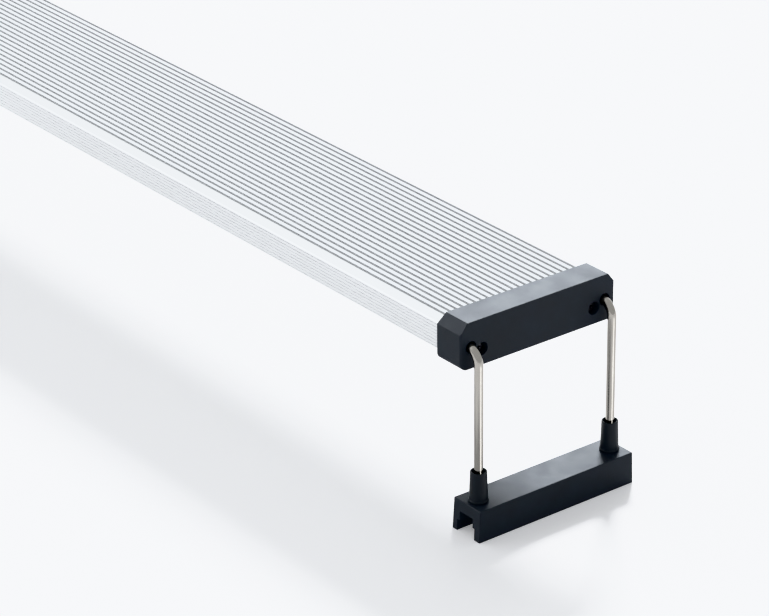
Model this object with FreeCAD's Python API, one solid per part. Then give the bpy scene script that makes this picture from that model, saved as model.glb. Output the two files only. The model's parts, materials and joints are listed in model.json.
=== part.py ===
import FreeCAD, Part
import math
import os

# LED aquarium light: a ribbed aluminium housing with two plastic end caps, which stands on two legs
# of bent rod. Each leg slides in and out of the housing along X, and its foot is slotted to sit over
# a tank's rim. Millimetres; +X along the housing, +Z up; the origin is on the ground, midway between
# the feet. "Front" is the -Y side. Everything at the right end (+X) is turned about Z for the left.

# End caps
body_length = 586.0          # between the caps' outer faces
cap_width = 85.0
cap_height = 21.6
cap_depth = 15.7
cap_bevel_y = 3.8            # bevelled upper corners
cap_bevel_z = 4.8
cap_corner_radius = 1.0      # upright corners of the outer face, seen from above
cap_bottom_radius = 3.4      # lower side edges
lip_set_back = 1.5           # the upper lip leans back from the mouth by this much
cap_web = 5.8                # plastic between the outer face and the gasket
cap_pocket = 3.0             # relief in the web, behind the housing's light channel
cap_pocket_width = 48.0
cap_pocket_height = 12.0
cap_fit = 0.12               # play between the cap's mouth and the housing

# Housing
housing_width = 80.6
housing_height = 15.1
housing_lift = 3.3           # housing's underside above the cap's
shoulder = 3.1               # bevel along the upper edges, up to the outermost groove
rib_count = 21
rib_pitch = 3.45
groove_width = 1.7
groove_depth = 0.7
rib_edge = 0.15              # small bevel on the ribs' edges
side_line_count = 8          # fine grooves along each side
side_line_width = 0.6
side_line_depth = 0.35
bottom_edge = 0.5
channel_width = 50.8         # the light channel under the top plate
plate_thickness = 3.5        # top plate, over the ribs
lens_slot_lift = 1.2
lens_slot_height = 2.7
lens_slot_depth = 1.8        # into each wall of the channel
chamber_low, chamber_high = 7.6, 11.4
chamber_inner, chamber_outer = 27.4, 38.6
tube_wall = 1.0              # round the rod channel
boss_radius = 2.9            # round the screw bore

# Gaskets
gasket_thickness = 1.0
gasket_inset = 0.4
gasket_window_width = 46.0
gasket_window_low, gasket_window_high = 4.1, 11.4

# Legs
rod_radius = 2.0
rod_y = 36.85                # each side of the middle
rod_lift = 10.0              # above the cap's underside
leg_reach = 5.1              # from the cap's outer face out to the legs when pushed in
bend_radius = 6.9            # to the rod's centre line; the bend starts inside the cap's hole
rod_inner_length = 110.1     # straight part, from the bend inwards
rod_hole_radius = 2.75
slide_travel = 45.0
running_clearance = 0.05
channel_radius = 2.6         # rod channel in the housing
sleeve_radius = 2.45         # slide sleeve on the rod's inner end
stop_gap = 0.3               # left at full travel
sleeve_end = 1.0             # rod that shows past the sleeve
bush_radius = 3.2
bush_length = 4.0

# Feet and sockets
leg_clearance = 60.7         # from the foot's top up to the cap's underside
foot_length = 85.6           # at the top
foot_end_draft = 0.5         # each end is this much longer at the bottom
foot_height = 15.0
foot_outer, foot_inner = 8.6, 9.2    # each side of the rod's axis, away from and towards the tank
foot_flare = 0.6             # tank-side face, out at the bottom
slot_ceiling = 9.7           # above the foot's underside
slot_step = 5.4
narrow_outer, narrow_inner = 3.65, 4.95
wide_outer, wide_inner = 4.85, 6.6
foot_edge_radius = 0.35
rod_floor = 1.5              # plastic left between the rod's end and the slot
spigot_radius = 3.2
spigot_length = 2.0
socket_height = 14.4
socket_lip_radius, socket_lip_height = 4.4, 1.0
socket_lip_edge = 0.6        # upright part of the lip
socket_base_radius, socket_top_radius = 4.1, 3.7
socket_round = 0.45
mouth_radius, mouth_depth = 3.0, 1.6
mouth_taper = 0.4            # below the mouth, down to the rod
round_steps = 4              # short straights that a turned rounding has

# Cap screws
screw_inboard = 5.9          # from the rod's axis, towards the middle
screw_drop = 2.5             # below the rod's axis
screw_radius = 1.45
screw_bore_radius = 1.5
screw_clear_radius = 1.7
screw_head_radius, screw_head_height = 2.5, 1.8
screw_recess_radius, screw_recess_depth = 3.0, 4.2
screw_cross_depth = 1.3
screw_bore_spare = 1.0       # bore beyond the screw's tip
screw_reach = 11.0           # into the housing

# Lens, boards and what is on them
lens_thickness = 2.0
lens_play = 0.3
board_count = 3
board_length, board_width, board_thickness = 180.0, 49.0, 1.6
board_gap = 3.0
pad_thickness = 0.5
led_size, led_height = 5.0, 1.6
led_window_radius, led_window_depth = 2.0, 0.2
led_rows, led_columns = 3, 12
led_row_pitch, led_column_pitch = 15.0, 14.8
resistor_length, resistor_width, resistor_height = 3.2, 1.6, 0.6
board_screw_radius = 1.2
board_screw_head_radius, board_screw_head_height = 2.25, 1.4
board_screw_reach = 2.0      # depth of its hole in the top plate
board_screw_tip_gap = 0.1    # left under the hole's end
board_hole_play = 0.15
board_cross_depth = 0.9
board_screw_x, board_screw_y = 85.0, 21.5

# Wires
wire_radius = 0.65
wire_bend = 0.9
wire_spread = 3.0            # each wire from the middle
jumper_reach = 4.5           # from the gap's middle to each end
wire_drop = 2.0              # below the boards

# Inlet, in the left cap
inlet_lift = 11.05           # above the cap's underside
flange_radius, flange_thickness = 5.6, 1.0
barrel_radius, barrel_length = 4.0, 4.6
tail_radius, tail_length = 3.4, 6.0
inlet_bore_radius, inlet_bore_depth = 2.8, 9.0
pin_radius, pin_length = 1.05, 7.5
pin_tip_round = 0.6
inlet_play = 0.1             # round the flange and the barrel
nut_radius, nut_thickness = 5.6, 2.0

# Derived places
cap_bottom = foot_height + leg_clearance
face_x = body_length / 2
mouth_x = face_x - cap_depth
gasket_x = face_x - cap_web
housing_end = gasket_x - gasket_thickness
housing_bottom = cap_bottom + housing_lift
housing_top = housing_bottom + housing_height
plate_under = housing_top - plate_thickness
rod_z = cap_bottom + rod_lift
leg_x = face_x + leg_reach
rod_bottom = slot_ceiling + rod_floor
screw_y = rod_y - screw_inboard
screw_z = rod_z - screw_drop
seat_x = face_x - screw_recess_depth
lens_bottom = housing_bottom + lens_slot_lift
board_top = plate_under - pad_thickness
board_bottom = board_top - board_thickness
inlet_z = cap_bottom + inlet_lift
along = FreeCAD.Vector(1, 0, 0)
past = 1.0                   # how far a cutting shape runs past what it cuts
close = 0.01                 # two places nearer than this are the same


def vec(x, y, z):
    return FreeCAD.Vector(x, y, z)


def box(low, high):
    """A block between two opposite corners."""
    size = [high[i] - low[i] for i in range(3)]
    return Part.makeBox(size[0], size[1], size[2], vec(*low))


def rod_along_x(radius, x_from, x_to, y, z):
    return Part.makeCylinder(radius, x_to - x_from, vec(x_from, y, z), along)


def polygon(points):
    return Part.Face(Part.makePolygon(points + [points[0]]))


def prism_along_x(outline, x_from, x_to):
    """A prism whose section is a list of (y, z) points."""
    face = polygon([vec(x_from, y, z) for y, z in outline])
    return face.extrude(vec(x_to - x_from, 0, 0))


def both_sides(points):
    """Closes a half outline, given for +Y from the bottom up, with its mirror image."""
    return points + [(-y, z) for y, z in reversed(points)]


def turned_left(shape):
    copy = shape.copy()
    copy.rotate(vec(0, 0, 0), vec(0, 0, 1), 180)
    return copy


def bent_tube(points, radius, bend):
    """A round bar along straight runs that are joined by tangent arcs."""
    edges = []
    start = points[0]
    for before, corner, after in zip(points, points[1:], points[2:]):
        inward = (before - corner).normalize()
        onward = (after - corner).normalize()
        half_angle = inward.getAngle(onward) / 2
        setback = bend / math.tan(half_angle)
        bisector = (inward + onward).normalize()
        middle = corner + bisector * (bend / math.sin(half_angle) - bend)
        arc_from = corner + inward * setback
        arc_to = corner + onward * setback
        edges.append(Part.LineSegment(start, arc_from).toShape())
        edges.append(Part.Arc(arc_from, middle, arc_to).toShape())
        start = arc_to
    edges.append(Part.LineSegment(start, points[-1]).toShape())
    ring = Part.Wire(Part.makeCircle(radius, points[0], points[1] - points[0]))
    return Part.Wire(edges).makePipeShell([ring], True, True)


def revolved(profile, x, y):
    """Turns (radius, z) points about an upright axis."""
    face = polygon([vec(x + r, y, z) for r, z in profile])
    return face.revolve(vec(x, y, 0), vec(0, 0, 1), 360)


def cross_recess(x_face, y, z, width, depth):
    """The driver's cross in a screw head that faces +X."""
    blades = [box((x_face - depth, y - a / 2, z - b / 2), (x_face, y + a / 2, z + b / 2))
              for a, b in ((width, width / 4), (width / 4, width))]
    return blades[0].fuse(blades[1])


def side_line_points():
    """Fine grooves up one side wall, from the bottom."""
    half = housing_width / 2
    pitch = (housing_height - shoulder) / side_line_count
    points = []
    for i in range(side_line_count):
        middle = housing_bottom + pitch * (i + 0.5)
        points += [(half, middle - side_line_width / 2),
                   (half - side_line_depth, middle - side_line_width / 5),
                   (half - side_line_depth, middle + side_line_width / 5),
                   (half, middle + side_line_width / 2)]
    return points


def rib_points():
    """The top's grooves, from the shoulder in to the middle rib."""
    floor = housing_top - groove_depth
    points = []
    for i in reversed(range((rib_count + 1) // 2)):
        outer = rib_pitch * (i + 0.5) + groove_width / 2
        inner = outer - groove_width
        points += [(outer + rib_edge, housing_top), (outer, housing_top - rib_edge), (outer, floor),
                   (inner, floor), (inner, housing_top - rib_edge), (inner - rib_edge, housing_top)]
    return points


def housing_half_outline():
    """From the channel's ceiling down round the lens slot, out, up the side and in over the ribs."""
    inner = channel_width / 2
    outer = housing_width / 2
    slot_low = housing_bottom + lens_slot_lift
    slot_high = slot_low + lens_slot_height
    under = [(inner, plate_under), (inner, slot_high), (inner + lens_slot_depth, slot_high),
             (inner + lens_slot_depth, slot_low), (inner, slot_low), (inner, housing_bottom),
             (outer - bottom_edge, housing_bottom), (outer, housing_bottom + bottom_edge / 2)]
    return under + side_line_points() + [(outer, housing_top - shoulder)] + rib_points()


def chamber(side):
    """The hollow beside the rod channel, which leaves the tube and the screw boss standing."""
    low = (-housing_end, chamber_inner, housing_bottom + chamber_low)
    high = (housing_end, chamber_outer, housing_bottom + chamber_high)
    if side < 0:
        low, high = (low[0], -high[1], low[2]), (high[0], -low[1], high[2])
    hollow = box(low, high)
    tube = rod_along_x(channel_radius + tube_wall, -housing_end, housing_end, side * rod_y, rod_z)
    boss = rod_along_x(boss_radius, -housing_end, housing_end, side * screw_y, screw_z)
    return hollow.cut(tube.fuse(boss))


def make_housing():
    body = prism_along_x(both_sides(housing_half_outline()), -housing_end, housing_end)
    for side in (-1, 1):
        rod_channel = rod_along_x(channel_radius, -housing_end, housing_end, side * rod_y, rod_z)
        body = body.cut(chamber(side)).cut(rod_channel)
        depth = screw_reach + screw_bore_spare
        for x_from in (-housing_end, housing_end - depth):
            bore = rod_along_x(screw_bore_radius, x_from, x_from + depth, side * screw_y, screw_z)
            body = body.cut(bore)
    for x, y in all_board_screw_places():
        hole = Part.makeCylinder(board_screw_radius, board_screw_reach, vec(x, y, plate_under))
        body = body.cut(hole)
    return body


def smooth_housing_outline(grow):
    """The housing's section without its lines and ribs, grown by a small play."""
    outer = housing_width / 2 + grow
    low = housing_bottom - grow
    high = housing_top + grow
    return both_sides([(outer, low), (outer, housing_top - shoulder + grow / 2),
                       (outer - shoulder - grow / 2, high)])


def cap_section():
    """The cap's outer section, as a face at x = 0."""
    half = cap_width / 2
    top = cap_bottom + cap_height
    r = cap_bottom_radius
    slant = r * (1 - math.sqrt(0.5))
    low_from, low_to = vec(0, half - r, cap_bottom), vec(0, half, cap_bottom + r)
    low_mid = vec(0, half - slant, cap_bottom + slant)
    corners = [low_to, vec(0, half, top - cap_bevel_z), vec(0, half - cap_bevel_y, top)]

    def mirrored(p):
        return vec(p.x, -p.y, p.z)

    run = corners + [mirrored(p) for p in reversed(corners)]
    edges = [Part.LineSegment(a, b).toShape() for a, b in zip(run, run[1:])]
    edges.append(Part.Arc(mirrored(low_to), mirrored(low_mid), mirrored(low_from)).toShape())
    edges.append(Part.LineSegment(mirrored(low_from), low_from).toShape())
    edges.append(Part.Arc(low_from, low_mid, low_to).toShape())
    return Part.Face(Part.Wire(edges))


def cap_plan():
    """A block with the outer face's upright corners rounded."""
    block = box((mouth_x - past, -cap_width / 2, cap_bottom - past),
                (face_x, cap_width / 2, cap_bottom + cap_height + past))
    outer = [e for e in block.Edges if e.BoundBox.XMin > face_x - close]
    corners = [e for e in outer if e.BoundBox.ZLength > cap_height]
    return block.makeFillet(cap_corner_radius, corners)


def lip_wedge():
    """What is cut off the mouth so that the upper lip leans back."""
    top = cap_bottom + cap_height
    low = top - cap_bevel_z
    side = [vec(mouth_x - past, -cap_width, low), vec(mouth_x, -cap_width, low),
            vec(mouth_x + lip_set_back, -cap_width, top),
            vec(mouth_x + lip_set_back, -cap_width, top + past), vec(mouth_x - past, -cap_width, top + past)]
    return polygon(side).extrude(vec(0, 2 * cap_width, 0))


def cap_holes():
    """Rod holes with their bush seats, and stepped screw holes."""
    cuts = []
    for side in (-1, 1):
        y = side * rod_y
        cuts.append(rod_along_x(rod_hole_radius, gasket_x - past, face_x + past, y, rod_z))
        cuts.append(rod_along_x(bush_radius, gasket_x - past, gasket_x + bush_length, y, rod_z))
        y = side * screw_y
        cuts.append(rod_along_x(screw_clear_radius, gasket_x - past, face_x + past, y, screw_z))
        cuts.append(rod_along_x(screw_recess_radius, seat_x, face_x + past, y, screw_z))
    return cuts


def make_cap():
    """The right-hand cap."""
    body = cap_section().extrude(vec(cap_depth, 0, 0))
    body.translate(vec(mouth_x, 0, 0))
    body = body.common(cap_plan()).cut(lip_wedge())
    body = body.cut(prism_along_x(smooth_housing_outline(cap_fit), mouth_x - past, gasket_x))
    pocket_low = (gasket_x - past, -cap_pocket_width / 2, inlet_z - cap_pocket_height / 2)
    pocket_high = (gasket_x + cap_pocket, cap_pocket_width / 2, inlet_z + cap_pocket_height / 2)
    body = body.cut(box(pocket_low, pocket_high))
    for cut in cap_holes():
        body = body.cut(cut)
    return body


def make_inlet_cap():
    """The left-hand cap: the right-hand one with a hole and a shallow seat for the inlet."""
    body = turned_left(make_cap())
    hole = rod_along_x(barrel_radius, -face_x - past, -gasket_x + past, 0, inlet_z)
    seat_radius = flange_radius + inlet_play
    seat = rod_along_x(seat_radius, -face_x - past, -face_x + flange_thickness, 0, inlet_z)
    return body.cut(hole).cut(seat)


def make_gasket():
    outline = smooth_housing_outline(-gasket_inset)
    sheet = prism_along_x(outline, housing_end, gasket_x)
    x_from, x_to = housing_end - past, gasket_x + past
    window = box((x_from, -gasket_window_width / 2, housing_bottom + gasket_window_low),
                 (x_to, gasket_window_width / 2, housing_bottom + gasket_window_high))
    sheet = sheet.cut(window)
    for side in (-1, 1):
        sheet = sheet.cut(rod_along_x(channel_radius, x_from, x_to, side * rod_y, rod_z))
        sheet = sheet.cut(rod_along_x(screw_clear_radius, x_from, x_to, side * screw_y, screw_z))
    return sheet


def make_cap_screw(y):
    shank = rod_along_x(screw_radius, housing_end - screw_reach, seat_x, y, screw_z)
    head = rod_along_x(screw_head_radius, seat_x, seat_x + screw_head_height, y, screw_z)
    head_x = seat_x + screw_head_height
    rim = [e for e in head.Edges if abs(e.CenterOfMass.x - head_x) < close]
    head = head.makeFillet(screw_head_height / 2, rim)
    recess = cross_recess(head_x, y, screw_z, screw_head_radius, screw_cross_depth)
    return shank.fuse(head).removeSplitter().cut(recess)


def make_bush(y):
    outer = rod_along_x(bush_radius, gasket_x, gasket_x + bush_length, y, rod_z)
    bore_radius = rod_radius + running_clearance
    bore = rod_along_x(bore_radius, gasket_x - past, gasket_x + bush_length + past, y, rod_z)
    return outer.cut(bore)


def make_rod(y):
    """From its inner end out along the housing, round the bend and down into the foot."""
    inner_end = leg_x - bend_radius - rod_inner_length
    path = [vec(inner_end, y, rod_z), vec(leg_x, y, rod_z), vec(leg_x, y, rod_bottom)]
    return bent_tube(path, rod_radius, bend_radius)


def make_slide_sleeve(y):
    """Nylon sleeve on the rod's inner end: it guides the rod, and stops it at the bush."""
    outer_end = gasket_x - stop_gap - slide_travel
    inner_end = leg_x - bend_radius - rod_inner_length + sleeve_end
    outer = rod_along_x(sleeve_radius, inner_end, outer_end, y, rod_z)
    return outer.cut(rod_along_x(rod_radius, inner_end - past, outer_end + past, y, rod_z))


def make_socket(y):
    """Tapered socket that stands on the foot round the rod, with a funnel at its mouth."""
    base = foot_height
    top = base + socket_height
    profile = [(rod_radius, base - spigot_length), (spigot_radius, base - spigot_length),
               (spigot_radius, base), (socket_lip_radius, base),
               (socket_lip_radius, base + socket_lip_edge),
               (socket_base_radius, base + socket_lip_height)]
    for i in range(round_steps + 1):
        turn = math.radians(90) * i / round_steps
        profile.append((socket_top_radius - socket_round * (1 - math.cos(turn)),
                        top - socket_round * (1 - math.sin(turn))))
    profile += [(mouth_radius, top), (rod_radius + running_clearance, top - mouth_depth),
                (rod_radius, top - mouth_depth - mouth_taper)]
    return revolved(profile, leg_x, y)


def make_foot():
    """Channel whose stepped slot is open underneath and at both ends."""
    outer, inner = leg_x + foot_outer, leg_x - foot_inner
    section = [(outer, 0), (outer, foot_height), (inner, foot_height), (inner - foot_flare, 0),
               (leg_x - wide_inner, 0), (leg_x - wide_inner, slot_step), (leg_x - narrow_inner, slot_step),
               (leg_x - narrow_inner, slot_ceiling), (leg_x + narrow_outer, slot_ceiling),
               (leg_x + narrow_outer, slot_step), (leg_x + wide_outer, slot_step), (leg_x + wide_outer, 0)]
    body = polygon([vec(x, -foot_length, z) for x, z in section]).extrude(vec(0, 2 * foot_length, 0))
    half = foot_length / 2
    ends = both_sides([(half + foot_end_draft, 0), (half, foot_height)])
    body = body.common(prism_along_x(ends, inner - foot_flare - past, outer + past))
    upper = [e for e in body.Edges if e.BoundBox.ZMin > foot_height - close]
    upright = [e for e in body.Edges if e.BoundBox.ZLength > foot_height - close]
    body = body.makeFillet(foot_edge_radius, upper + upright)
    for y in (-rod_y, rod_y):
        spigot_seat = vec(leg_x, y, foot_height - spigot_length)
        body = body.cut(Part.makeCylinder(rod_radius, foot_height, vec(leg_x, y, rod_bottom)))
        body = body.cut(Part.makeCylinder(spigot_radius, foot_height, spigot_seat))
    return body


def make_lens():
    half = channel_width / 2 + lens_slot_depth - lens_play
    return box((-housing_end, -half, lens_bottom), (housing_end, half, lens_bottom + lens_thickness))


def make_lens_seal(side):
    low = lens_bottom + lens_thickness
    high = lens_bottom + lens_slot_height
    inner = channel_width / 2 + lens_play
    outer = channel_width / 2 + lens_slot_depth - lens_play
    near, far = sorted((side * inner, side * outer))
    return box((-housing_end, near, low), (housing_end, far, high))


def board_middle(index):
    return (index - (board_count - 1) / 2) * (board_length + board_gap)


def board_screw_places(index):
    middle = board_middle(index)
    return [(middle + x, y) for x in (-board_screw_x, 0, board_screw_x)
            for y in (-board_screw_y, board_screw_y)]


def all_board_screw_places():
    return [place for index in range(board_count) for place in board_screw_places(index)]


def make_sheet(index, low, high):
    """A board or a pad: a rectangle with its screws' holes."""
    x_from = board_middle(index) - board_length / 2
    sheet = box((x_from, -board_width / 2, low), (x_from + board_length, board_width / 2, high))
    radius = board_screw_radius + board_hole_play
    for x, y in board_screw_places(index):
        sheet = sheet.cut(Part.makeCylinder(radius, high - low + 2 * past, vec(x, y, low - past)))
    return sheet


def led_places(index):
    columns = [(i - (led_columns - 1) / 2) * led_column_pitch for i in range(led_columns)]
    rows = [(i - (led_rows - 1) / 2) * led_row_pitch for i in range(led_rows)]
    return [(board_middle(index) + x, y) for x in columns for y in rows]


def make_leds(index):
    leds = []
    for x, y in led_places(index):
        half = led_size / 2
        low = board_bottom - led_height
        body = box((x - half, y - half, low), (x + half, y + half, board_bottom))
        window = Part.makeCylinder(led_window_radius, led_window_depth, vec(x, y, low))
        leds.append(body.cut(window))
    return Part.makeCompound(leds)


def make_resistors(index):
    """One chip between every second pair of columns, beside the outer rows."""
    chips = []
    low = board_bottom - resistor_height
    for i in range(1, led_columns, 2):
        x = board_middle(index) + (i - led_columns / 2) * led_column_pitch
        for y in (-led_row_pitch / 2, led_row_pitch / 2):
            chips.append(box((x - resistor_length / 2, y - resistor_width / 2, low),
                             (x + resistor_length / 2, y + resistor_width / 2, board_bottom)))
    return Part.makeCompound(chips)


def make_board_screws(index):
    screws = []
    shank_length = plate_under + board_screw_reach - board_screw_tip_gap - board_bottom
    low = board_bottom - board_screw_head_height
    cross_top = low + board_cross_depth
    for x, y in board_screw_places(index):
        shank = Part.makeCylinder(board_screw_radius, shank_length, vec(x, y, board_bottom))
        head = Part.makeCylinder(board_screw_head_radius, board_screw_head_height, vec(x, y, low))
        rim = [e for e in head.Edges if abs(e.CenterOfMass.z - low) < close]
        head = head.makeFillet(board_screw_head_height / 2, rim)
        width = board_screw_head_radius
        for a, b in ((width, width / 4), (width / 4, width)):
            head = head.cut(box((x - a / 2, y - b / 2, low), (x + a / 2, y + b / 2, cross_top)))
        screws.append(shank.fuse(head))
    return Part.makeCompound(screws)


def make_jumper_wires(index):
    """Two wires that cross the gap between a board and the next one."""
    middle = board_middle(index) + (board_length + board_gap) / 2
    low = board_bottom - wire_drop
    wires = []
    for y in (-wire_spread, wire_spread):
        path = [vec(middle - jumper_reach, y, board_bottom), vec(middle - jumper_reach, y, low),
                vec(middle + jumper_reach, y, low), vec(middle + jumper_reach, y, board_bottom)]
        wires.append(bent_tube(path, wire_radius, wire_bend))
    return Part.makeCompound(wires)


def inlet_back():
    return -face_x + flange_thickness + barrel_length + tail_length


def make_supply_wires():
    """From the inlet's back to the left board."""
    end = board_middle(0) - board_length / 2 + jumper_reach
    wires = []
    for side in (-1, 1):
        path = [vec(inlet_back(), side * tail_radius / 2, inlet_z),
                vec((inlet_back() + end) / 2 - wire_bend, side * tail_radius / 2, inlet_z),
                vec(end, side * wire_spread, board_bottom - wire_drop),
                vec(end, side * wire_spread, board_bottom)]
        wires.append(bent_tube(path, wire_radius, wire_bend))
    return Part.makeCompound(wires)


def make_inlet():
    """Socket body: flange, threaded barrel, round tail, and the bore for the plug."""
    front = -face_x
    flange = rod_along_x(flange_radius, front, front + flange_thickness, 0, inlet_z)
    barrel_end = front + flange_thickness + barrel_length
    barrel = rod_along_x(barrel_radius - inlet_play, front, barrel_end, 0, inlet_z)
    tail = rod_along_x(tail_radius, front, inlet_back(), 0, inlet_z)
    bore = rod_along_x(inlet_bore_radius, front - past, front + inlet_bore_depth, 0, inlet_z)
    return flange.fuse(barrel).fuse(tail).removeSplitter().cut(bore)


def make_inlet_pin():
    root = -face_x + inlet_bore_depth
    pin = rod_along_x(pin_radius, root - pin_length, root, 0, inlet_z)
    tip = [e for e in pin.Edges if abs(e.CenterOfMass.x - root + pin_length) < close]
    return pin.makeFillet(pin_tip_round, tip)


def make_inlet_nut():
    """Hexagonal nut on the barrel, inside the cap's pocket."""
    x = -(gasket_x + cap_pocket)
    turns = [math.radians(60 * i) for i in range(6)]
    corners = [(nut_radius * math.cos(turn), inlet_z + nut_radius * math.sin(turn)) for turn in turns]
    hexagon = prism_along_x(corners, x, x + nut_thickness)
    return hexagon.cut(rod_along_x(barrel_radius, x - past, x + nut_thickness + past, 0, inlet_z))


def fixture_parts():
    parts = {
        "housing": make_housing(),
        "end_cap_right": make_cap(),
        "end_cap_left": make_inlet_cap(),
        "end_gasket_right": make_gasket(),
        "end_gasket_left": turned_left(make_gasket()),
        "cover_lens": make_lens(),
        "lens_seal_front": make_lens_seal(-1),
        "lens_seal_back": make_lens_seal(1),
        "supply_wires": make_supply_wires(),
        "dc_inlet": make_inlet(),
        "inlet_pin": make_inlet_pin(),
        "inlet_nut": make_inlet_nut(),
    }
    screws = Part.makeCompound([make_cap_screw(-screw_y), make_cap_screw(screw_y)])
    parts["cap_screws_right"] = screws
    parts["cap_screws_left"] = turned_left(screws)
    return parts


def board_parts():
    parts = {}
    for index, name in enumerate(("left", "centre", "right")):
        parts["led_board_" + name] = make_sheet(index, board_bottom, board_top)
        parts["thermal_pad_" + name] = make_sheet(index, board_top, plate_under)
        parts["leds_" + name] = make_leds(index)
        parts["resistors_" + name] = make_resistors(index)
        parts["board_screws_" + name] = make_board_screws(index)
    parts["jumper_wires_left"] = make_jumper_wires(0)
    parts["jumper_wires_right"] = make_jumper_wires(1)
    return parts


def leg_parts():
    """Both legs, and the bushes that their rods run in."""
    parts = {"foot_right": make_foot(), "foot_left": turned_left(make_foot())}
    makers = {"rod": make_rod, "rod_bush": make_bush, "slide_sleeve": make_slide_sleeve,
              "rod_socket": make_socket}
    for name, make in makers.items():
        for side, y in (("front", -rod_y), ("back", rod_y)):
            parts[name + "_right_" + side] = make(y)
            parts[name + "_left_" + side] = turned_left(make(-y))
    return parts


os.makedirs("parts", exist_ok=True)
for node, shape in {**fixture_parts(), **board_parts(), **leg_parts()}.items():
    shape.exportStep("parts/" + node + ".step")
    print(node, shape.isValid(), len(shape.Solids), round(shape.Volume))
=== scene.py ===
import json
import math

import bmesh
import bpy
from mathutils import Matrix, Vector


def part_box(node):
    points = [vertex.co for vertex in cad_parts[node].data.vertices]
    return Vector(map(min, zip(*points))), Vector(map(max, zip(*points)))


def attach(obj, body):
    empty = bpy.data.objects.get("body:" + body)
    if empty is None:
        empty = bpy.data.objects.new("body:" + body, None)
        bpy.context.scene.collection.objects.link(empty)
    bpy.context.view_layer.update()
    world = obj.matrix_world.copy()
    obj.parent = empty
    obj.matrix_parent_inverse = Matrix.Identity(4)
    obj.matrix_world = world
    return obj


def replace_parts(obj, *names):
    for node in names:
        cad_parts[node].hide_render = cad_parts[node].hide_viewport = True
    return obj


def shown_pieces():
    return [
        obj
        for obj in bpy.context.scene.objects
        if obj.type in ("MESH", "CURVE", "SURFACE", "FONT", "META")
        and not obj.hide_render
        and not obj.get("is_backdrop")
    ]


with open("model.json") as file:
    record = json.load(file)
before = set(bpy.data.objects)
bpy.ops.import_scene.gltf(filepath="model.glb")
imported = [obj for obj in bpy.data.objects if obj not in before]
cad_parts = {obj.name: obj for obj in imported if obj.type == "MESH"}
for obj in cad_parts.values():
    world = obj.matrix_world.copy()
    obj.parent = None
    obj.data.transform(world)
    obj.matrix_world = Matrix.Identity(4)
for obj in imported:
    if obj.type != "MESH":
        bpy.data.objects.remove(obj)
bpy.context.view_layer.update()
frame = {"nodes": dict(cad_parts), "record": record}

# Looks for an LED aquarium light. Metres, in the CAD model's own frame: +X along the housing towards
# the cap that faces the camera, +Z up, -Y the front. Each CAD node keeps its shape and gets a material.
# The rods and sockets are rebuilt as finer meshes in the same place, and the LED boards get details.

# Camera: a long lens from the front right
FOCAL_LENGTH = 158.99
SENSOR_WIDTH = 36.0
CAMERA_AZIMUTH = math.radians(52.46)     # from the front (-Y) towards +X
CAMERA_ELEVATION = math.radians(25.74)
CAMERA_ROLL = math.radians(-0.63)
CAMERA_DISTANCE = 1.4411
CAMERA_AIM = Vector((0.24753, -0.04722, 0.08999))
CLIP_START = 0.05

# Light: a soft sun from behind on the left, which gloss doesn't show, two wide glows on the left,
# one behind and one in front, and an even room that gloss shows brighter than matt surfaces do
KEY_FROM = Vector((-1.05, 0.95, 1.0))
KEY_ANGLE = 0.20
KEY_STRENGTH = 5.2
BACK_GLOW = ((-0.714, 0.549, 0.42), 3.1, 9.0)      # direction, radiance, narrowness
FRONT_GLOW = ((-0.60, -0.42, 0.68), 3.1, 11.0)
ROOM_COLOUR = (0.97, 0.985, 1.0, 1)
ROOM_RADIANCE = 0.50
GLOSS_RADIANCE = 1.05                    # the room as gloss reflects it, the same all round
GLOW_ON_MATT = 0.27                      # share of the two glows that lights matt surfaces

# Two soft lights that only the black plastic's gloss takes: name, direction, angle, strength
SHEEN_LIGHTS = (
    ("key_sheen", KEY_FROM, 0.30, 4.9),
    ("front_sheen", Vector((-0.714, -0.549, 0.50)), 0.6, 1.7),
)
SHEEN_COLOUR = (0.88, 0.96, 1.06)
SHEEN_SLOTS = ("black_plastic",)

# A weak light from below, without shadows, that only the rods' gloss takes
ROD_LIGHT_FROM = Vector((0.879, 0.195, -0.434))
ROD_LIGHT_ANGLE = 0.22
ROD_LIGHT_STRENGTH = 0.70
ROD_LIGHT_SLOTS = ("stainless",)

# The housing's zones. The first three are heights, down from the tops of the ribs
GROOVE_FROM = 0.0002                     # a groove's walls start here
GROOVE_FLOOR = 0.00066                   # and its floor here
GROOVE_TO = 0.0009
SHOULDER = 0.0030                        # in from the sides, the part of the top without ribs
SIDE_LINES = 0.0005                      # how far in from the sides the fine lines reach

# Painted shade and light on the one anodised finish: for the grooves' floors, the grooves' walls, the
# shoulders and the sides, a value (darker in the floors as painted shade, lighter elsewhere as painted
# light) and a roughness, and how far the extrusion lines vary each of the two
ZONE_PAINTED_SHADING_AND_ROUGHNESS = ((0.28, 0.50), (0.80, 0.55), (0.44, 0.36), (0.60, 0.36))
ZONE_VALUES = (0.95, 1.05)
ZONE_ROUGHNESS = (0.92, 1.08)
COOL_TINT = (0.985, 1.0, 1.015)

# The rest of the housing, and the two noises
TOP_COLOURS = ((0.315, 0.325, 0.339, 1), (0.345, 0.355, 0.369, 1))
TOP_ROUGHNESS = (0.26, 0.34)
EXTRUSION_LINES = (4, 2600, 2600)        # noise stretched along X
EXTRUSION_CLOUDS = (18, 60, 60)

# Stainless wire: fine upright lines, and broad patches
WIRE_COLOURS = ((0.262, 0.250, 0.232, 1), (0.305, 0.292, 0.271, 1))
WIRE_ROUGHNESS = (0.14, 0.22)
WIRE_LINES = (2400, 2400, 25)
WIRE_PATCHES = (60, 60, 30)

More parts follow.
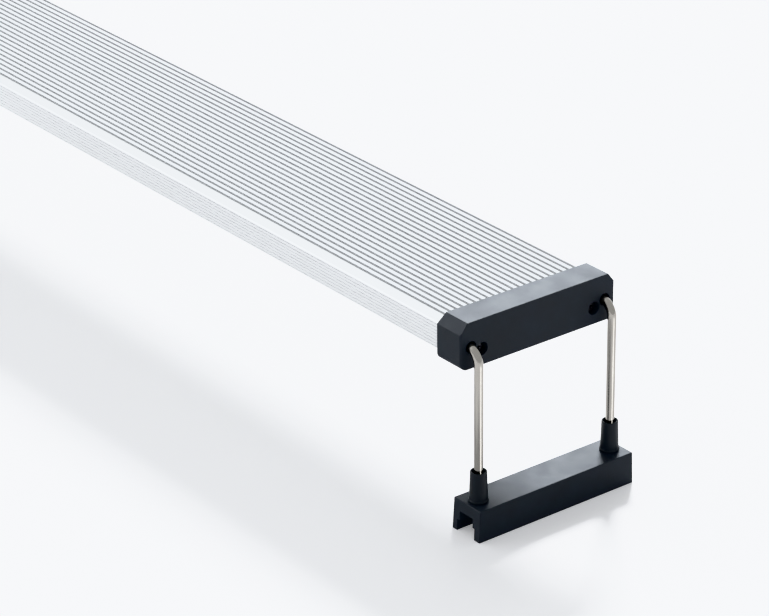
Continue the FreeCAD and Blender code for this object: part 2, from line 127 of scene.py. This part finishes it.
# Moulded plastic and small parts: how far a material's colour and roughness vary
PLASTIC_GLOSS = 0.35                     # specular level of the black plastics
PLASTIC_PATCHES = 90.0
PLASTIC_VALUES = (0.8, 1.25)
PLASTIC_BUMP = 0.35
EDGE_SOFTNESS = 0.0003                   # moulded edges
EDGE_SAMPLES = 4
SMALL_PART_DARK = 0.88
SMALL_PART_ROUGHNESS = (0.85, 1.15)
SMALL_PART_BUMP = 0.2

ACRYLIC_IOR = 1.49
ACRYLIC_COLOURS = ((0.95, 0.97, 0.975, 1), (0.98, 0.99, 0.99, 1))
ACRYLIC_ROUGHNESS = (0.01, 0.05)
ACRYLIC_SMEARS = (30, 90, 30)

FLOOR_SIZE = 14.0
FLOOR_COLOUR = (0.90, 0.905, 0.92, 1)
FLOOR_DARK = 0.98                        # share of the colour that the darker patches keep
FLOOR_PATCHES = 3.0
FLOOR_ROUGHNESS = 0.6
FLOOR_GLOSS = 0.25
FLOOR_FILL = 0.31                        # the floor's own faint glow

# The sockets of a colour Mix node
MIX_FIRST, MIX_SECOND, MIX_RESULT = 6, 7, 2

# Rods and sockets, as fine as they show close up
SHARP_ANGLE = math.radians(40)           # faces that meet at more than this keep a sharp edge
ROD_SIDES = 48
BEND_STEPS = 24
BEND_RADIUS = 0.0069
SOCKET_SIDES = 64
SOCKET_BASE_RADIUS = 0.0041
SOCKET_TOP_RADIUS = 0.0037
BORE_RADIUS = 0.00205
MOUTH_RADIUS = 0.0030
MOUTH_DEPTH = 0.0016
LIP_HEIGHT = 0.0010
LIP_ROUND = 0.0003
RIM_STEPS = 10
LIP_STEPS = 6

# The LED boards and what is on them
BOARD_PLACES = ("left", "centre", "right")
LED_ROWS, LED_COLUMNS = 3, 12
LED_ROW_PITCH, LED_COLUMN_PITCH = 0.015, 0.0148
LED_SIZE = 0.005
WINDOW_RADIUS, WINDOW_DEPTH = 0.00198, 0.00018
WINDOW_SIDES = 24
DOME_SHARES = (0.05, 0.35, 0.6, 0.8, 0.95)     # of the window's radius, where the dome has rings
DOME_RISE = 0.5                          # of the window's depth, how far the dome curves up into it
LEAD_PITCH, LEAD_WIDTH, LEAD_OUT, LEAD_HEIGHT = 0.0015, 0.0008, 0.0004, 0.0005
CHIP_LENGTH, CHIP_WIDTH, CHIP_HEIGHT = 0.0032, 0.0016, 0.0006
CHIP_END, CHIP_WRAP = 0.0005, 0.00008


def node_tree(name):
    """A new material, its node tree and its Principled shader."""
    material = bpy.data.materials.new(name)
    material.use_nodes = True
    tree = material.node_tree
    return material, tree, tree.nodes["Principled BSDF"]


def position(tree, scale):
    """Object coordinates in metres, stretched by a scale for each axis."""
    coordinates = tree.nodes.new("ShaderNodeTexCoord")
    mapping = tree.nodes.new("ShaderNodeMapping")
    mapping.inputs["Scale"].default_value = scale
    tree.links.new(coordinates.outputs["Object"], mapping.inputs["Vector"])
    return mapping.outputs["Vector"]


def noise(tree, vector, scale=1.0, detail=3.0, roughness=0.55):
    """A noise texture's value at a place."""
    texture = tree.nodes.new("ShaderNodeTexNoise")
    texture.inputs["Scale"].default_value = scale
    texture.inputs["Detail"].default_value = detail
    texture.inputs["Roughness"].default_value = roughness
    tree.links.new(vector, texture.inputs["Vector"])
    return texture.outputs["Fac"]


def ramp(tree, factor, low, high, start=0.3, end=0.7):
    """Two colours or two greys, blended where the factor goes from start to end."""
    colour = tree.nodes.new("ShaderNodeValToRGB")
    for element, place, value in zip(colour.color_ramp.elements, (start, end), (low, high)):
        element.position = place
        element.color = value if hasattr(value, "__len__") else (value, value, value, 1)
    tree.links.new(factor, colour.inputs["Fac"])
    return colour.outputs["Color"]


def soft_edges(tree, radius):
    """A normal that rounds the sharp edges by a small radius."""
    node = tree.nodes.new("ShaderNodeBevel")
    node.samples = EDGE_SAMPLES
    node.inputs["Radius"].default_value = radius
    return node.outputs["Normal"]


def bump(tree, shader, height, strength, distance, normal=None):
    """Gives a shader fine relief from a height, on top of another normal if there is one."""
    node = tree.nodes.new("ShaderNodeBump")
    if normal is not None:
        tree.links.new(normal, node.inputs["Normal"])
    node.inputs["Strength"].default_value = strength
    node.inputs["Distance"].default_value = distance
    tree.links.new(height, node.inputs["Height"])
    tree.links.new(node.outputs["Normal"], shader.inputs["Normal"])


def maths(tree, operation, first, second):
    """A Math node; each input is a number or another node's output."""
    node = tree.nodes.new("ShaderNodeMath")
    node.operation = operation
    for socket, value in zip(node.inputs, (first, second)):
        if isinstance(value, float):
            socket.default_value = value
        else:
            tree.links.new(value, socket)
    return node.outputs["Value"]


def within(tree, value, low, high):
    """1 where a coordinate is between two heights or distances, and 0 elsewhere."""
    above = maths(tree, "GREATER_THAN", value, low)
    below = maths(tree, "LESS_THAN", value, high)
    return maths(tree, "MULTIPLY", above, below)


def housing_zones(tree):
    """Masks over the housing for its painted shade and light: the grooves' floors and walls, the shoulders,
    and the lined sides.
    """
    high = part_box("housing")[1]
    coordinates = tree.nodes.new("ShaderNodeTexCoord").outputs["Object"]
    split = tree.nodes.new("ShaderNodeSeparateXYZ")
    tree.links.new(coordinates, split.inputs["Vector"])
    across = maths(tree, "ABSOLUTE", split.outputs["Y"], 0.0)
    inner = maths(tree, "LESS_THAN", across, high.y - SHOULDER)
    floors = within(tree, split.outputs["Z"], high.z - GROOVE_TO, high.z - GROOVE_FLOOR)
    walls = within(tree, split.outputs["Z"], high.z - GROOVE_FLOOR, high.z - GROOVE_FROM)
    shoulders = within(tree, across, high.y - SHOULDER, high.y - SIDE_LINES)
    sides = within(tree, across, high.y - SIDE_LINES, high.y + SIDE_LINES)
    inner_floors = maths(tree, "MULTIPLY", floors, inner)
    inner_walls = maths(tree, "MULTIPLY", walls, inner)
    return inner_floors, inner_walls, shoulders, sides


def mixed(tree, factor, first, second):
    """The first colour where the factor is 0, and the second where it is 1."""
    node = tree.nodes.new("ShaderNodeMix")
    node.data_type = "RGBA"
    tree.links.new(factor, node.inputs["Factor"])
    tree.links.new(first, node.inputs[MIX_FIRST])
    tree.links.new(second, node.inputs[MIX_SECOND])
    return node.outputs[MIX_RESULT]


def cool(value):
    """A faintly blue grey."""
    return tuple(tint * value for tint in COOL_TINT) + (1,)


def anodised_aluminium():
    """Satin silver: extrusion lines along X, a faint cloudiness, a roughness for each zone, and painted
    shade in the grooves' floors and painted light on their walls, the shoulders and the sides.
    """
    material, tree, shader = node_tree("anodised_aluminium")
    shader.inputs["Metallic"].default_value = 1.0
    lines = noise(tree, position(tree, EXTRUSION_LINES), detail=4.0)
    clouds = noise(tree, position(tree, EXTRUSION_CLOUDS), detail=3.0)
    colour = ramp(tree, clouds, *TOP_COLOURS)
    dullness = ramp(tree, lines, *TOP_ROUGHNESS)
    # Each zone's colour is painted shade in the grooves' floors and painted light on the walls, shoulders
    # and sides
    for mask, (value, roughness) in zip(housing_zones(tree), ZONE_PAINTED_SHADING_AND_ROUGHNESS):
        painted_shading = ramp(tree, lines, *[cool(share * value) for share in ZONE_VALUES])
        colour = mixed(tree, mask, colour, painted_shading)
        zone_dullness = ramp(tree, lines, *[share * roughness for share in ZONE_ROUGHNESS])
        dullness = mixed(tree, mask, dullness, zone_dullness)
    tree.links.new(colour, shader.inputs["Base Color"])
    tree.links.new(dullness, shader.inputs["Roughness"])
    bump(tree, shader, lines, strength=0.06, distance=0.00004)
    return material


def moulded_plastic(name, base, low, high, grain, depth):
    """Dark plastic with a fine moulded grain."""
    material, tree, shader = node_tree(name)
    fine = noise(tree, position(tree, (1, 1, 1)), grain, detail=2.0)
    broad = noise(tree, position(tree, (1, 1, 1)), PLASTIC_PATCHES, detail=5.0)
    dark, light = [tuple(share * c for c in base) + (1,) for share in PLASTIC_VALUES]
    tree.links.new(ramp(tree, broad, dark, light), shader.inputs["Base Color"])
    tree.links.new(ramp(tree, broad, low, high), shader.inputs["Roughness"])
    shader.inputs["Specular IOR Level"].default_value = PLASTIC_GLOSS
    bump(tree, shader, fine, PLASTIC_BUMP, depth, soft_edges(tree, EDGE_SOFTNESS))
    return material


def stainless():
    """Drawn wire: fine lines along the rod, warm grey."""
    material, tree, shader = node_tree("stainless")
    shader.inputs["Metallic"].default_value = 1.0
    upright = noise(tree, position(tree, WIRE_LINES), detail=3.0)
    broad = noise(tree, position(tree, WIRE_PATCHES), detail=2.0)
    tree.links.new(ramp(tree, broad, *WIRE_COLOURS), shader.inputs["Base Color"])
    tree.links.new(ramp(tree, upright, *WIRE_ROUGHNESS), shader.inputs["Roughness"])
    bump(tree, shader, upright, strength=0.10, distance=0.00003)
    return material


def plain(name, base, roughness, metallic=0.0, grain=400.0, depth=0.00003):
    """A small part's material: its colour and roughness vary a little."""
    material, tree, shader = node_tree(name)
    shader.inputs["Metallic"].default_value = metallic
    cloud = noise(tree, position(tree, (1, 1, 1)), grain, detail=2.0)
    dark = tuple(SMALL_PART_DARK * c for c in base) + (1,)
    tree.links.new(ramp(tree, cloud, dark, tuple(base) + (1,)), shader.inputs["Base Color"])
    low, high = [share * roughness for share in SMALL_PART_ROUGHNESS]
    tree.links.new(ramp(tree, cloud, low, high), shader.inputs["Roughness"])
    bump(tree, shader, cloud, SMALL_PART_BUMP, depth)
    return material


def clear_lens():
    """Clear acrylic with faint smears."""
    material, tree, shader = node_tree("clear_lens")
    shader.inputs["Transmission Weight"].default_value = 1.0
    shader.inputs["IOR"].default_value = ACRYLIC_IOR
    smears = noise(tree, position(tree, ACRYLIC_SMEARS), detail=3.0)
    tree.links.new(ramp(tree, smears, *ACRYLIC_ROUGHNESS), shader.inputs["Roughness"])
    tree.links.new(ramp(tree, smears, *ACRYLIC_COLOURS), shader.inputs["Base Color"])
    return material


MATERIALS = {
    "anodised_aluminium": anodised_aluminium(),
    "black_plastic": moulded_plastic("black_plastic", (0.0128, 0.0160, 0.0212), 0.59, 0.66,
                                     grain=2600.0, depth=0.00006),
    "socket_rubber": moulded_plastic("socket_rubber", (0.0105, 0.0130, 0.0165), 0.42, 0.52,
                                     grain=1800.0, depth=0.00004),
    "stainless": stainless(),
    "clear_lens": clear_lens(),
    "silicone": plain("silicone", (0.34, 0.35, 0.36), 0.6),
    "wire_insulation": plain("wire_insulation", (0.55, 0.04, 0.03), 0.4),
    "inlet_plastic": plain("inlet_plastic", (0.014, 0.014, 0.016), 0.38, grain=1500.0),
    "plated_metal": plain("plated_metal", (0.74, 0.73, 0.70), 0.22, metallic=1.0, grain=1200.0),
    "screw_steel": plain("screw_steel", (0.10, 0.10, 0.105), 0.38, metallic=1.0, grain=1500.0),
    "board_mask": plain("board_mask", (0.84, 0.85, 0.84), 0.35, grain=900.0),
    "thermal_pad": plain("thermal_pad", (0.40, 0.46, 0.56), 0.7),
    "led_package": plain("led_package", (0.86, 0.85, 0.80), 0.45),
    "phosphor": plain("phosphor", (0.90, 0.66, 0.12), 0.45, grain=700.0),
    "resistor_body": plain("resistor_body", (0.03, 0.03, 0.035), 0.4),
    "bush_nylon": plain("bush_nylon", (0.02, 0.02, 0.02), 0.45),
}


def paint_nodes():
    """Each CAD node takes the material that its slot names."""
    for part in frame["record"]["subparts"]:
        mesh = frame["nodes"][part["node"]].data
        mesh.materials.clear()
        mesh.materials.append(MATERIALS[part["material_slot"]])


def body_of_node(node):
    bodies = frame["record"]["behaviour"]["bodies"]
    return next(name for name, nodes in bodies.items() if node in nodes)


def add_piece(name, rings_list, node, slot, closed=False):
    """A mesh of one or more skins, each a list of rings. It rides with a CAD node's body."""
    points, faces = [], []
    for rings in rings_list:
        start, count = len(points), len(rings[0])
        points += [point for ring in rings for point in ring]
        pairs = list(zip(range(len(rings)), range(1, len(rings))))
        if closed:
            pairs.append((len(rings) - 1, 0))
        for here, there in pairs:
            for i in range(count):
                j = (i + 1) % count
                faces.append((start + here * count + i, start + here * count + j,
                              start + there * count + j, start + there * count + i))
        if not closed:
            faces.append([start + i for i in reversed(range(count))])
            faces.append([start + (len(rings) - 1) * count + i for i in range(count)])
    mesh = bpy.data.meshes.new(name)
    mesh.from_pydata(points, [], faces)
    mesh.materials.append(MATERIALS[slot])
    solid = bmesh.new()
    solid.from_mesh(mesh)
    bmesh.ops.recalc_face_normals(solid, faces=solid.faces)
    solid.to_mesh(mesh)
    solid.free()
    mesh.shade_smooth()
    mesh.set_sharp_from_angle(angle=SHARP_ANGLE)
    piece = bpy.data.objects.new(name, mesh)
    bpy.context.scene.collection.objects.link(piece)
    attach(piece, body_of_node(node))
    return piece


def turn_angles(count):
    """Even steps round a full turn."""
    return [2 * math.pi * i / count for i in range(count)]


def arc(centre, radius, start, stop, steps=LIP_STEPS):
    """Points of a (radius, height) profile along a small arc; angles in degrees."""
    angles = [math.radians(start + (stop - start) * i / steps) for i in range(steps + 1)]
    return [(centre[0] + radius * math.cos(a), centre[1] + radius * math.sin(a)) for a in angles]


def turned(profile, x, y, count):
    """Rings that turn a (radius, z) profile about an upright axis."""
    return [[(x + r * math.cos(a), y + r * math.sin(a), z) for a in turn_angles(count)] for r, z in profile]


def block(centre, size):
    """Two rings: a box as a skin."""
    corners = ((-1, -1), (1, -1), (1, 1), (-1, 1))
    return [[(centre[0] + i * size[0] / 2, centre[1] + j * size[1] / 2, centre[2] + k * size[2] / 2)
             for i, j in corners] for k in (-1, 1)]


def make_rod(node):
    """A round rod: out along the housing, round the bend and down into the foot."""
    low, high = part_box(node)
    radius = (high.y - low.y) / 2
    y = (low.y + high.y) / 2
    side = 1 if high.x > 0 else -1
    inner = min(low.x * side, high.x * side)
    leg = max(low.x * side, high.x * side) - radius
    top = high.z - radius
    bend = [math.radians(90) * i / BEND_STEPS for i in range(BEND_STEPS + 1)]
    centres = [(inner, top, 0.0)]
    centres += [(leg - BEND_RADIUS * (1 - math.sin(a)), top - BEND_RADIUS * (1 - math.cos(a)), a)
                for a in bend]
    centres.append((leg, low.z, bend[-1]))
    rings = [[(side * (x + radius * math.cos(a) * math.sin(lean)), y + radius * math.sin(a),
               z + radius * math.cos(a) * math.cos(lean)) for a in turn_angles(ROD_SIDES)]
             for x, z, lean in centres]
    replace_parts(add_piece("wire_" + node, [rings], node, "stainless"), node)


def make_socket(node):
    """A tapered socket: rounded rim round a funnel mouth, and a rounded lip on the foot."""
    low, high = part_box(node)
    middle = (low + high) / 2
    lip = (high.x - low.x) / 2
    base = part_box("foot_" + node.split("_")[2])[1].z
    rim = (SOCKET_TOP_RADIUS - MOUTH_RADIUS) / 2
    profile = [(BORE_RADIUS, high.z - MOUTH_DEPTH)]
    profile += arc((MOUTH_RADIUS + rim, high.z - rim), rim, 180, 0, RIM_STEPS)
    fillet = (SOCKET_BASE_RADIUS + LIP_ROUND, base + LIP_HEIGHT + LIP_ROUND)
    profile += arc(fillet, LIP_ROUND, 180, 270)
    profile += arc((lip - LIP_ROUND, base + LIP_HEIGHT - LIP_ROUND), LIP_ROUND, 90, 0)
    profile += [(lip, base), (BORE_RADIUS, base)]
    rings = turned(profile, middle.x, middle.y, SOCKET_SIDES)
    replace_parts(add_piece("moulded_" + node, [rings], node, "socket_rubber", closed=True), node)


def led_places(board):
    """The LEDs' middles under a board, and its underside's height."""
    low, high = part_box(board)
    middle = (low + high) / 2
    columns = [middle.x + (i - (LED_COLUMNS - 1) / 2) * LED_COLUMN_PITCH for i in range(LED_COLUMNS)]
    rows = [middle.y + (i - (LED_ROWS - 1) / 2) * LED_ROW_PITCH for i in range(LED_ROWS)]
    return [(x, y) for x in columns for y in rows], low.z


def make_board_details(place):
    """Phosphor in the LEDs' windows, their leads, and the chips' end caps."""
    board = "led_board_" + place
    leds, under = led_places(board)
    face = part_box("leds_" + place)[0].z
    dome = [(WINDOW_RADIUS * share, face + WINDOW_DEPTH * share ** 2 * DOME_RISE)
            for share in DOME_SHARES]
    dome.append((WINDOW_RADIUS, face + WINDOW_DEPTH))
    fillings = [turned(dome, x, y, WINDOW_SIDES) for x, y in leds]
    add_piece("phosphor_" + place, fillings, board, "phosphor")
    leads = [block((x + i * LEAD_PITCH, y + side * (LED_SIZE + LEAD_OUT) / 2, under - LEAD_HEIGHT / 2),
                   (LEAD_WIDTH, LEAD_OUT, LEAD_HEIGHT))
             for x, y in leds for i in (-1, 0, 1) for side in (-1, 1)]
    add_piece("led_leads_" + place, leads, board, "plated_metal")
    chips = [(leds[i * LED_ROWS][0] - LED_COLUMN_PITCH / 2, y) for i in range(1, LED_COLUMNS, 2)
             for y in (-LED_ROW_PITCH / 2, LED_ROW_PITCH / 2)]
    ends = [block((x + side * (CHIP_LENGTH - CHIP_END) / 2, y, under - CHIP_HEIGHT / 2),
                  (CHIP_END + CHIP_WRAP, CHIP_WIDTH + CHIP_WRAP, CHIP_HEIGHT + CHIP_WRAP))
            for x, y in chips for side in (-1, 1)]
    add_piece("chip_ends_" + place, ends, board, "plated_metal")


def make_floor():
    """A wide, pale floor under the feet."""
    bpy.ops.mesh.primitive_plane_add(size=FLOOR_SIZE)
    floor = bpy.context.object
    floor.name = "floor"
    material, tree, shader = node_tree("floor")
    cloud = noise(tree, position(tree, (1, 1, 1)), FLOOR_PATCHES, detail=2.0)
    darker = tuple(FLOOR_DARK * c for c in FLOOR_COLOUR[:3]) + (1,)
    tree.links.new(ramp(tree, cloud, darker, FLOOR_COLOUR), shader.inputs["Base Color"])
    shader.inputs["Roughness"].default_value = FLOOR_ROUGHNESS
    shader.inputs["Specular IOR Level"].default_value = FLOOR_GLOSS
    shader.inputs["Emission Color"].default_value = FLOOR_COLOUR
    shader.inputs["Emission Strength"].default_value = FLOOR_FILL
    floor.data.materials.append(material)
    floor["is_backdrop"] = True


def look_along(obj, direction):
    """Points an object's -Z axis along a direction."""
    obj.rotation_euler = direction.to_track_quat("-Z", "Y").to_euler()


def glow(tree, direction, radiance, narrowness):
    """A soft patch of the surroundings: brightest in one direction, falling off all round it."""
    look = tree.nodes.new("ShaderNodeTexCoord").outputs["Generated"]
    toward = tree.nodes.new("ShaderNodeVectorMath")
    toward.operation = "DOT_PRODUCT"
    toward.inputs[1].default_value = Vector(direction).normalized()
    tree.links.new(look, toward.inputs[0])
    ahead = maths(tree, "MAXIMUM", toward.outputs["Value"], 0.0)
    return maths(tree, "MULTIPLY", maths(tree, "POWER", ahead, narrowness), radiance)


def add_sun(name, come_from, angle, strength):
    """A distant light that comes from a direction."""
    lamp = bpy.data.lights.new(name, "SUN")
    lamp.energy = strength
    lamp.angle = angle
    sun = bpy.data.objects.new(name, lamp)
    look_along(sun, -come_from)
    bpy.context.scene.collection.objects.link(sun)
    return sun


def pieces_of(name, slots):
    """A collection of the shown pieces that have one of these finishes."""
    found = bpy.data.collections.new(name)
    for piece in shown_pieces():
        if piece.data.materials[0] in [MATERIALS[slot] for slot in slots]:
            found.objects.link(piece)
    return found


def add_suns():
    key = add_sun("key", KEY_FROM, KEY_ANGLE, KEY_STRENGTH)
    key.visible_glossy = False
    black_parts = pieces_of("black_parts", SHEEN_SLOTS)
    for name, come_from, angle, strength in SHEEN_LIGHTS:
        sun = add_sun(name, come_from, angle, strength)
        sun.data.color = SHEEN_COLOUR
        sun.visible_diffuse = False
        sun.light_linking.receiver_collection = black_parts
    rod_light = add_sun("rod_light", ROD_LIGHT_FROM, ROD_LIGHT_ANGLE, ROD_LIGHT_STRENGTH)
    rod_light.data.use_shadow = False
    rod_light.visible_diffuse = False
    rod_light.light_linking.receiver_collection = pieces_of("rods", ROD_LIGHT_SLOTS)


def add_room():
    """The surroundings: an even room and two glows, as matt and as glossy surfaces take them."""
    world = bpy.data.worlds.new("room")
    world.use_nodes = True
    tree = world.node_tree
    background = tree.nodes["Background"]
    background.inputs["Color"].default_value = ROOM_COLOUR
    both = maths(tree, "ADD", glow(tree, *BACK_GLOW), glow(tree, *FRONT_GLOW))
    diffuse = tree.nodes.new("ShaderNodeLightPath").outputs["Is Diffuse Ray"]
    dimmed = maths(tree, "SUBTRACT", 1.0, maths(tree, "MULTIPLY", diffuse, 1.0 - GLOW_ON_MATT))
    glows = maths(tree, "MULTIPLY", both, dimmed)
    glossy = tree.nodes.new("ShaderNodeLightPath").outputs["Is Glossy Ray"]
    brighter = maths(tree, "MULTIPLY", glossy, GLOSS_RADIANCE - ROOM_RADIANCE)
    room = maths(tree, "ADD", brighter, ROOM_RADIANCE)
    tree.links.new(maths(tree, "ADD", glows, room), background.inputs["Strength"])
    bpy.context.scene.world = world
    bpy.context.scene.view_settings.view_transform = "Khronos PBR Neutral"


def add_camera():
    away = Vector((math.sin(CAMERA_AZIMUTH) * math.cos(CAMERA_ELEVATION),
                   -math.cos(CAMERA_AZIMUTH) * math.cos(CAMERA_ELEVATION),
                   math.sin(CAMERA_ELEVATION)))
    lens = bpy.data.cameras.new("camera")
    lens.sensor_width = SENSOR_WIDTH
    lens.lens = FOCAL_LENGTH
    lens.clip_start = CLIP_START
    camera = bpy.data.objects.new("camera", lens)
    bpy.context.scene.collection.objects.link(camera)
    camera.location = CAMERA_AIM + away * CAMERA_DISTANCE
    look_along(camera, -away)
    camera.rotation_euler.rotate_axis("Z", CAMERA_ROLL)
    bpy.context.scene.camera = camera


paint_nodes()
for part in frame["record"]["subparts"]:
    if part["node"].startswith("rod_socket"):
        make_socket(part["node"])
    elif part["material_slot"] == "stainless":
        make_rod(part["node"])
for place in BOARD_PLACES:
    make_board_details(place)
make_floor()
add_suns()
add_room()
add_camera()
